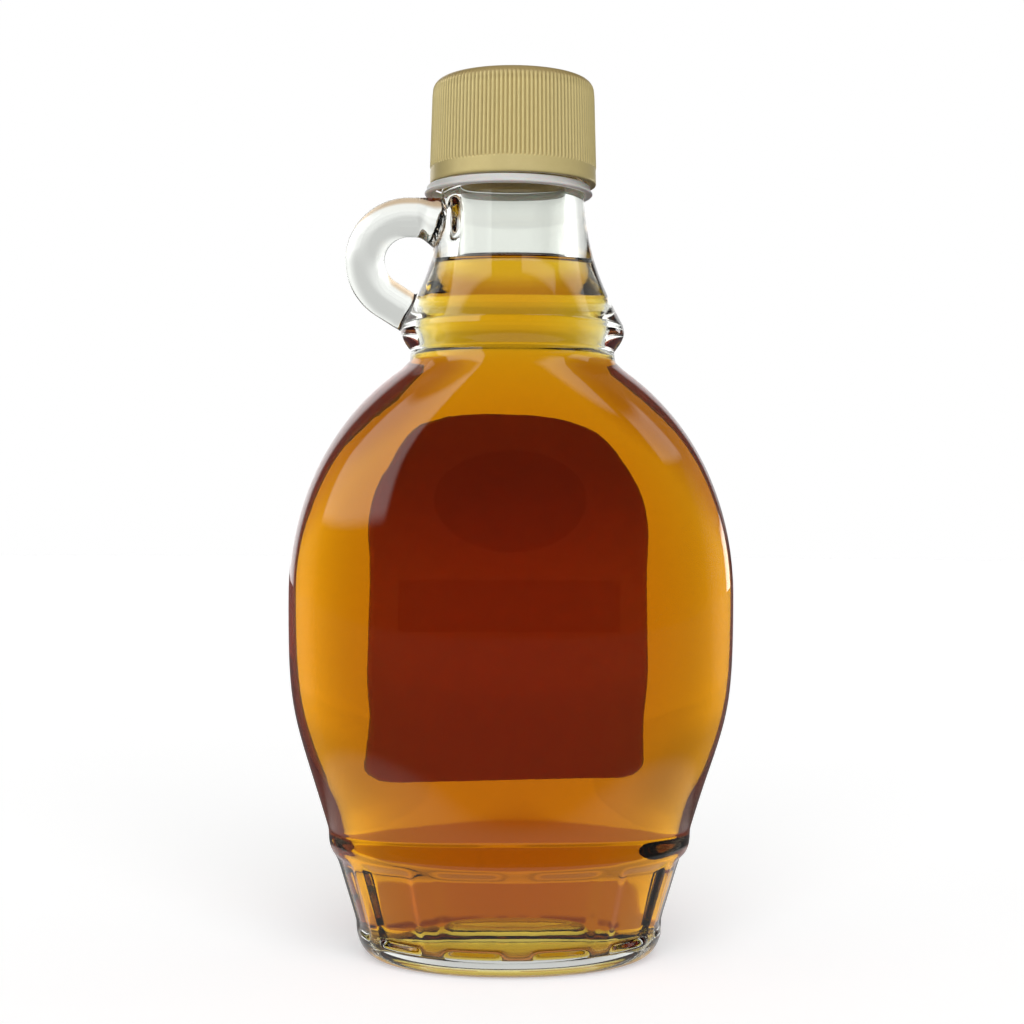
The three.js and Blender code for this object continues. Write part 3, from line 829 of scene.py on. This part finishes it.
milkyRing = addPiece("milky_ring", ringPieceMesh(), "milky_plastic", "tamper_ring")
milkyRing.data.materials.append(ringMaterial())
print("ring ready")


# Label

darkRed, straw, brownInk = (0.33, 0.055, 0.025, 1), (0.80, 0.66, 0.40, 1), (0.16, 0.055, 0.025, 1)

label = {
    "shiftX": 0.8, "halfWidth": 21.2, "bottomZ": 30.7, "springZ": 72.5, "topZ": 95.1,
    "cornerRadius": 3, "bottomBow": 4, "flatTop": 0.06,
    "taperFromZ": 50, "taper": 2.6,  # the lower part grows narrower
    "gap": 0.03, "thickness": 0.3, "columns": 60,
    "paper": [(0.78, 0.68, 0.46, 1), (0.88, 0.80, 0.60, 1)],
    "roughness": 0.6, "grain": 0.02,
    "scatter": (1, 0.8, 0.6), "scatterDepth": 0.6,
    "showThrough": 0.12,  # of the print, on the side that is stuck on
    # painted shade: the upper part of the stuck-on side is coloured darker
    "topPaintedShade": 0.45, "topPaintedShadeFrom": (60, 92),  # its upper part is darker there
    "rules": [(1.0, 1.6), (2.2, 2.5)],  # lines along the edge: from and to, inwards
    "picture": (0, 80, 12.5, 9),  # oval with hills: middle x and z, half width, half height
    "pictureRim": 0.6,
    "sky": (0.70, 0.71, 0.56, 1), "sun": (4.2, 83.2, 2.6, 2.6), "sunColour": (0.86, 0.46, 0.10, 1),
    "hills": [  # height, waves per mm, start of the wave, colour
        (79.2, 0.32, 0.6, (0.36, 0.35, 0.16, 1)),
        (76.4, 0.45, 2.4, (0.17, 0.18, 0.07, 1)),
    ],
    "band": (0, 61.5, 17.6, 4.6),
    "shapes": [  # kind, middle x and z, half width, half height, colour
        ("box", 0, 64.9, 16.6, 0.2, straw),
        ("box", 0, 58.1, 16.6, 0.2, straw),
        *[("diamond", x, 61.5, 3.4, 1.9, straw) for x in (-8, 0, 8)],
        ("box", 0, 52.8, 12, 0.45, brownInk),
        ("box", 0, 50.6, 9, 0.3, brownInk),
        *[("oval", x, 45.2, r, r, darkRed) for x, r in ((-5, 1.2), (0, 1.7), (5, 1.2))],
        ("box", 0, 39.6, 10, 0.3, brownInk),
    ],
}


def labelHalfWidth(z):
    corner = label["cornerRadius"]
    drop = max(0, label["taperFromZ"] - z) / (label["taperFromZ"] - label["bottomZ"])
    full = label["halfWidth"] - label["taper"] * drop ** 2
    if z < label["bottomZ"] + corner:
        drop = (label["bottomZ"] + corner - z) / corner
        return full - corner * (1 - math.sqrt(max(0, 1 - drop * drop)))
    rise = min(1, max(0, (z - label["springZ"]) / (label["topZ"] - label["springZ"])))
    return full * (label["flatTop"] + (1 - label["flatTop"]) * math.sqrt(1 - rise * rise))


def backPoints(across, rowZ, lift):
    # points on the back of the flask, in the label's row that meets its middle line at rowZ
    fade = min(1, max(0, (label["springZ"] - rowZ) / (label["springZ"] - label["bottomZ"])))
    z = rowZ + label["bottomBow"] * fade * (across / label["halfWidth"]) ** 2
    x = label["shiftX"] + across
    power = squarenessAt(z)
    share = np.abs(x) / at(frontLine, z)
    depth = at(sideLine, z) * (1 - share ** power) ** (1 / power)
    return np.column_stack([x, depth + lift, z])


def labelMesh():
    bottom, corner = label["bottomZ"], label["cornerRadius"]
    rounding = [bottom + corner * (1 - math.cos(a)) for a in np.linspace(0, math.pi / 2, 12)]
    arch = [label["springZ"] + (label["topZ"] - label["springZ"]) * math.sin(a)
            for a in np.linspace(0, math.pi / 2, 40)]
    rows = rounding + steps(rounding[-1], (label["springZ"], 1.5))[1:] + arch[1:]
    rings = []
    for z in rows:
        half = labelHalfWidth(z)
        xs = np.linspace(-half, half, label["columns"] + 1)
        inner = backPoints(xs, z, label["gap"])
        outer = backPoints(xs, z, label["gap"] + label["thickness"])
        rings.append(np.vstack([inner, outer[::-1]]))
    mesh = ringMesh("paper_label", rings, "strips")
    perRow, half = len(rings[0]), label["columns"] + 1
    for face in mesh.polygons[:perRow * (len(rings) - 1)]:
        if half <= face.index % perRow < perRow - 1:
            face.material_index = 1  # the printed side
    return mesh


def spotMask(tree, x, z, kind, middleX, middleZ, halfWidth, halfHeight):
    # 1 inside a box, oval or diamond on the label
    away = []
    for value, middle, half in ((x, middleX, halfWidth), (z, middleZ, halfHeight)):
        off = maths(tree, "ABSOLUTE", maths(tree, "SUBTRACT", value, middle))
        away.append(maths(tree, "DIVIDE", off, half))
    if kind == "box":
        reach = maths(tree, "MAXIMUM", *away)
    elif kind == "diamond":
        reach = maths(tree, "ADD", *away)
    else:
        squares = [maths(tree, "POWER", value, 2.0) for value in away]
        reach = maths(tree, "SQRT", maths(tree, "ADD", *squares))
    return maths(tree, "LESS_THAN", reach, 1.0)


def makeLabelInset():
    # 1 inside the label's outline drawn in by Inset, which is in millimetres
    group, given, out = newGroup(
        "label inset", [("Across", "NodeSocketFloat", 0.0), ("Height", "NodeSocketFloat", 0.0),
                        ("Inset", "NodeSocketFloat", 1.0)], [("Mask", "NodeSocketFloat")])

    def calc(operation, *values):
        return maths(group, operation, *values)

    inset, height = given.outputs["Inset"], given.outputs["Height"]
    low = calc("DIVIDE", calc("SUBTRACT", label["taperFromZ"], height),
               label["taperFromZ"] - label["bottomZ"])
    taper = calc("MULTIPLY", calc("POWER", calc("MAXIMUM", low, 0.0), 2.0), label["taper"])
    halfWidth = calc("SUBTRACT", label["halfWidth"], calc("ADD", inset, taper))
    wide = calc("DIVIDE", calc("ABSOLUTE", given.outputs["Across"]), halfWidth)
    rise = calc("MAXIMUM", calc("SUBTRACT", height, label["springZ"]), 0.0)
    high = calc("DIVIDE", rise, calc("SUBTRACT", label["topZ"] - label["springZ"], inset))
    reach = calc("ADD", calc("POWER", wide, 2.0), calc("POWER", high, 2.0))
    above = calc("GREATER_THAN", height, calc("ADD", inset, label["bottomZ"]))
    feed(group, out.inputs["Mask"], calc("MULTIPLY", calc("LESS_THAN", reach, 1.0), above))
    return group


def makeLabelPrint():
    # colour of the printed front, and where there is ink
    group, given, out = newGroup(
        "label print", [("Vector", "NodeSocketVector", None),
                        ("Paper Colour", "NodeSocketColor", (0.8, 0.7, 0.5, 1))],
        [("Colour", "NodeSocketColor"), ("Ink", "NodeSocketFloat")])
    sideways, _, upwards = split(group, scaleColour(group, given.outputs["Vector"], 1 / mm))
    x = maths(group, "SUBTRACT", sideways, label["shiftX"])
    squared = maths(group, "POWER", maths(group, "ABSOLUTE", x), 2.0)
    fade = rangeMask(group, upwards, label["springZ"], label["bottomZ"])
    bow = maths(group, "MULTIPLY", maths(group, "MULTIPLY", squared, fade),
                label["bottomBow"] / label["halfWidth"] ** 2)
    z = maths(group, "SUBTRACT", upwards, bow)

    def spot(kind, *place):
        return spotMask(group, x, z, kind, *place)

    def insetMask(inset):
        return placeGroup(group, labelInset, Across=x, Height=z, Inset=inset)["Mask"]

    view = colourMix(group, spot("oval", *label["sun"]), label["sky"], label["sunColour"])
    for height, waves, start, colour in label["hills"]:
        wave = maths(group, "SINE", maths(group, "MULTIPLY_ADD", x, waves, start))
        below = maths(group, "LESS_THAN", z, maths(group, "ADD", wave, height))
        view = colourMix(group, below, view, colour)
    middleX, middleZ, halfWidth, halfHeight = label["picture"]
    rim = label["pictureRim"]
    layers = [(spot("oval", *label["picture"]), brownInk),
              (spot("oval", middleX, middleZ, halfWidth - rim, halfHeight - rim), view)]
    for outer, inner in label["rules"]:
        layers.append((maths(group, "SUBTRACT", insetMask(outer), insetMask(inner)), brownInk))
    for *shape, colour in [("box", *label["band"], darkRed), *label["shapes"]]:
        layers.append((spot(*shape), colour))
    colour, ink = given.outputs["Paper Colour"], 0.0
    for mask, layer in layers:
        colour = colourMix(group, mask, colour, layer)
        ink = maths(group, "MAXIMUM", ink, mask)
    feed(group, out.inputs["Colour"], colour)
    feed(group, out.inputs["Ink"], ink)
    return group


labelInset = makeLabelInset()
labelPrint = makeLabelPrint()


def labelMaterial(name, printed):
    # the stuck-on side shows the oval and the band faintly, and is coloured darker upwards as painted
    # shade
    material, tree, shader, place = newMaterial(name)
    fibre = mottle(tree, place, 350.0, 0.5, label["paper"])
    if printed:
        printing = placeGroup(tree, labelPrint, Vector=place, Paper_Colour=fibre["Colour"])
        colour = printing["Colour"]
    else:
        sideways, _, z = split(tree, scaleColour(tree, place, 1 / mm))
        x = maths(tree, "SUBTRACT", sideways, label["shiftX"])
        seen = maths(tree, "MAXIMUM", spotMask(tree, x, z, "oval", *label["picture"]),
                     spotMask(tree, x, z, "box", *label["band"]))
        faint = spreadMask(tree, seen, 1, 1 - label["showThrough"])
        # painted shade: darker colour towards the top of the stuck-on side, times the faint print
        # showing through
        high = rangeMask(tree, z, *label["topPaintedShadeFrom"])
        showThroughAndPaintedShade = maths(tree, "MULTIPLY", faint, spreadMask(tree, high, 1, label["topPaintedShade"]))
        colour = scaleColour(tree, fibre["Colour"], showThroughAndPaintedShade)
    feed(tree, shader.inputs["Base Color"], colour)
    shader.inputs["Roughness"].default_value = label["roughness"]
    shader.inputs["Subsurface Weight"].default_value = 1
    shader.inputs["Subsurface Radius"].default_value = label["scatter"]
    shader.inputs["Subsurface Scale"].default_value = label["scatterDepth"] * mm
    addBump(tree, shader, fibre["Mask"], label["grain"])
    return material


paperLabel = addPiece("paper_label", labelMesh(), "label_paper", "label")
for side in (labelMaterial("back of label paper", False), labelMaterial("printed label paper", True)):
    paperLabel.data.materials.append(side)
print("label ready")


# Floor, backdrop and light

# Azimuths count from the camera's side, in degrees, + to the right; radiances are of white 1.
# The mirrored studio is what the flask reflects, the clear one what shows through it.
studio = {
    "floorRadius": 3.0,
    "seenColour": [(0.88, 0.88, 0.88, 1), (0.92, 0.92, 0.92, 1)], "seenGlow": 0.45,
    # what lights the matt pieces, from behind and from the front
    "soft": 0.3, "softFront": 2.4, "softFrom": (140, 156),
    # what the flask mirrors
    "dark": 0.06, "overhead": 0.25, "overheadFrom": (48, 56),
    "windows": [  # azimuth, half width, elevation, half height, softness, radiance
        (-69, 31, 33.5, 18.5, 2.0, 2.0),
        (90, 18, 36, 8, 2.5, 1.4),
        (38, 27, 48, 4, 2.0, 1.6),
        (-163, 18, 15, 20, 5.0, 1.5),
        (168, 17, 16, 12, 5.0, 0.9),
        (135, 7, 2, 5, 1.5, 3.0),
    ],
    "floorGlow": 0.6, "floorDark": 0.12, "floorEdge": (0.085, 0.105),
    # what shows through it: backdrop, sides and front, by angle from straight back
    "backdrop": 0.97, "backdropSides": 1.75, "sidesFrom": (15, 50), "backdropEnd": (66, 80),
    "clearDark": 0.3, "clearFloorSides": 0.6,
    "clearFront": 0.85, "clearFrontFloor": 1.8, "frontFrom": (120, 135),
    "clearTop": (1, 10), "clearTopShade": 0.74,
    # floor through the glass: painted shadow with painted amber caustic light under the flask and
    # close by, plain bright farther off
    "underShadowAndCaustic": (0.30, 0.11, 0.03, 1), "underShadowAndCausticTo": (0.024, 0.05),
    "nearShadowAndCaustic": (0.74, 0.56, 0.40, 1), "nearShadowAndCausticTo": (0.22, 0.40), "farColour": (1.1, 1.1, 1.1, 1),
}


def makeBearing():
    # azimuth from the camera's side, angle from straight back, and elevation, all in degrees
    group, given, out = newGroup(
        "bearing", [("Vector", "NodeSocketVector", None)],
        [("Azimuth", "NodeSocketFloat"), ("From Back", "NodeSocketFloat"),
         ("Elevation", "NodeSocketFloat")])
    x, y, z = split(group, vectorMaths(group, "NORMALIZE", given.outputs["Vector"]))
    forward = maths(group, "MULTIPLY", y, -1.0)
    azimuth = maths(group, "DEGREES", maths(group, "ARCTAN2", x, forward))
    fromBack = maths(group, "SUBTRACT", 180.0, maths(group, "ABSOLUTE", azimuth))
    feed(group, out.inputs["Azimuth"], azimuth)
    feed(group, out.inputs["From Back"], fromBack)
    feed(group, out.inputs["Elevation"], maths(group, "DEGREES", maths(group, "ARCSINE", z)))
    return group


def makeWindowShape():
    # soft-edged rectangle in azimuth and elevation
    group, given, out = newGroup(
        "window shape",
        [("Azimuth", "NodeSocketFloat", 0.0), ("Elevation", "NodeSocketFloat", 0.0),
         ("Centre", "NodeSocketFloat", 0.0), ("Half Width", "NodeSocketFloat", 20.0),
         ("Height", "NodeSocketFloat", 30.0), ("Half Height", "NodeSocketFloat", 10.0),
         ("Softness", "NodeSocketFloat", 2.0)],
        [("Mask", "NodeSocketFloat")])
    across = maths(group, "SUBTRACT", given.outputs["Azimuth"], given.outputs["Centre"])
    across = maths(group, "WRAP", across, 180.0, -180.0)
    above = maths(group, "SUBTRACT", given.outputs["Elevation"], given.outputs["Height"])
    masks = []
    for off, half in ((across, "Half Width"), (above, "Half Height")):
        edge = maths(group, "SUBTRACT", given.outputs[half], maths(group, "ABSOLUTE", off))
        share = maths(group, "DIVIDE", edge, given.outputs["Softness"])
        masks.append(rangeMask(group, share, -1, 1))
    feed(group, out.inputs["Mask"], maths(group, "MULTIPLY", *masks))
    return group


bearingGroup = makeBearing()
windowGroup = makeWindowShape()


def clearStudio(tree, fromBack):
    # through the glass: how bright backdrop and sides are, where they end, and where the front is
    side = rangeMask(tree, fromBack, *studio["sidesFrom"])
    bright = spreadMask(tree, side, studio["backdrop"], studio["backdropSides"])
    ended = rangeMask(tree, fromBack, *studio["backdropEnd"])
    return bright, ended, rangeMask(tree, fromBack, *studio["frontFrom"])


def makeFloor():
    bm = bmesh.new()
    bmesh.ops.create_circle(bm, cap_ends=True, radius=studio["floorRadius"], segments=96)
    mesh = bpy.data.meshes.new("floor")
    bm.to_mesh(mesh)
    bm.free()
    floor = bpy.data.objects.new("floor", mesh)
    scene.collection.objects.link(floor)
    material, tree, shader, place = newMaterial("pale floor")
    material.cycles.emission_sampling = "NONE"
    path = tree.nodes.new("ShaderNodeLightPath").outputs
    away = vectorMaths(tree, "LENGTH", place)
    bearing = placeGroup(tree, bearingGroup, Vector=place)
    # through the glass
    bright, ended, front = clearStudio(tree, bearing["From Back"])
    side = mixValue(tree, ended, bright, studio["clearFloorSides"])
    around = mixValue(tree, front, side, studio["clearFrontFloor"])
    # painted shadow and painted amber caustic light on the floor around the flask, seen through the
    # glass
    far = rangeMask(tree, away, *studio["nearShadowAndCausticTo"])
    colour = colourMix(tree, far, studio["nearShadowAndCaustic"], studio["farColour"])
    beyond = rangeMask(tree, away, *studio["underShadowAndCausticTo"])
    colour = colourMix(tree, beyond, studio["underShadowAndCaustic"], colour)
    clear = scaleColour(tree, colour, around)
    # mirrored, lighting the matt pieces, and seen directly
    edge = rangeMask(tree, away, *studio["floorEdge"])
    mirrored = mixValue(tree, edge, studio["floorGlow"], studio["floorDark"])
    lit = mixValue(tree, path["Is Glossy Ray"], studio["soft"], mirrored)
    other = colourMix(tree, path["Is Transmission Ray"], lit, clear)
    tone = mottle(tree, place, 4.0, 0.2, studio["seenColour"])["Colour"]
    plain = scaleColour(tree, tone, studio["seenGlow"])
    seen = path["Is Camera Ray"]
    feed(tree, shader.inputs["Emission Color"], colourMix(tree, seen, other, plain))
    shader.inputs["Emission Strength"].default_value = 1
    feed(tree, shader.inputs["Base Color"], scaleColour(tree, tone, seen))
    shader.inputs["Roughness"].default_value = 0.9
    shader.inputs["Specular IOR Level"].default_value = 0
    mesh.materials.append(material)


def makeWorld():
    world = bpy.data.worlds.new("studio")
    scene.world = world
    world.use_nodes = True
    tree = world.node_tree
    tree.nodes.clear()
    coords = tree.nodes.new("ShaderNodeTexCoord")
    path = tree.nodes.new("ShaderNodeLightPath").outputs
    bearing = placeGroup(tree, bearingGroup, Vector=coords.outputs["Generated"])
    elevation, fromBack = bearing["Elevation"], bearing["From Back"]
    over = rangeMask(tree, elevation, *studio["overheadFrom"])
    mirrored = spreadMask(tree, over, studio["dark"], studio["overhead"])
    for azimuth, halfWidth, height, halfHeight, softness, radiance in studio["windows"]:
        window = placeGroup(tree, windowGroup, Azimuth=bearing["Azimuth"], Elevation=elevation,
                            Centre=azimuth, Half_Width=halfWidth, Height=height,
                            Half_Height=halfHeight, Softness=softness)
        lit = maths(tree, "MULTIPLY", window["Mask"], radiance)
        mirrored = maths(tree, "MAXIMUM", mirrored, lit)
    bright, ended, front = clearStudio(tree, fromBack)
    side = mixValue(tree, ended, bright, studio["clearDark"])
    around = mixValue(tree, front, side, studio["clearFront"])
    high = rangeMask(tree, elevation, *studio["clearTop"])
    clear = maths(tree, "MULTIPLY", around, spreadMask(tree, high, 1, studio["clearTopShade"]))
    facing = rangeMask(tree, fromBack, *studio["softFrom"])
    soft = spreadMask(tree, facing, studio["soft"], studio["softFront"])
    plain = mixValue(tree, path["Is Glossy Ray"], soft, mirrored)
    other = mixValue(tree, path["Is Transmission Ray"], plain, clear)
    background = tree.nodes.new("ShaderNodeBackground")
    background.inputs["Color"].default_value = (1, 1, 1, 1)
    feed(tree, background.inputs["Strength"], mixValue(tree, path["Is Camera Ray"], other, 1.0))
    output = tree.nodes.new("ShaderNodeOutputWorld")
    feed(tree, output.inputs["Surface"], background.outputs[0])


makeFloor()
makeWorld()
print("studio ready")


# Update the scene

bpy.context.view_layer.update()
